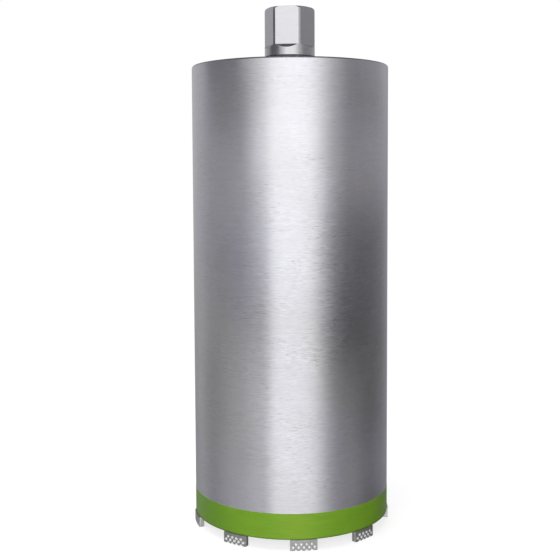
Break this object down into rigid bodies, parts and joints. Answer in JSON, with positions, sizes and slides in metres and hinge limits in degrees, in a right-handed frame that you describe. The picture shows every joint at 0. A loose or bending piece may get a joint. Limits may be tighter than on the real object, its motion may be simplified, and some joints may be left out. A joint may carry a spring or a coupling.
{
  "type": "diamond core bit",
  "caption": "Long thin-walled steel core barrel with dimpled diamond segments on its open lower rim and a female threaded hexagonal spindle connector on its closed top.",
  "frame": {"origin": "on the barrel's axis at the level of the segment tips, on which the bit stands", "axes": "+Z along the barrel's axis, up to the connector; the side that faces -Y is the front in the picture"},
  "size_m": [0.1813, 0.1818, 0.4737],
  "materials": {
    "barrel_steel": "brushed round its girth, satin",
    "band_green": "thin satin paint over brushed steel",
    "hub_steel": "finely turned and milled, bright",
    "plate_steel": "turned, satin",
    "weld_steel": "as welded, dulled by heat",
    "segment_matrix": "sintered, speckled with grit"
  },
  "bodies": {
    "root": {"connector_hub": "hub_steel", "hub_weld_bead": "weld_steel", "barrel_tube": "barrel_steel", "marking_band": "band_green", "end_plate": "plate_steel", "segment_01": "segment_matrix", "segment_02": "segment_matrix", "segment_03": "segment_matrix", "segment_04": "segment_matrix", "segment_05": "segment_matrix", "segment_06": "segment_matrix", "segment_07": "segment_matrix", "segment_08": "segment_matrix", "segment_09": "segment_matrix"}
  },
  "joints": []
}
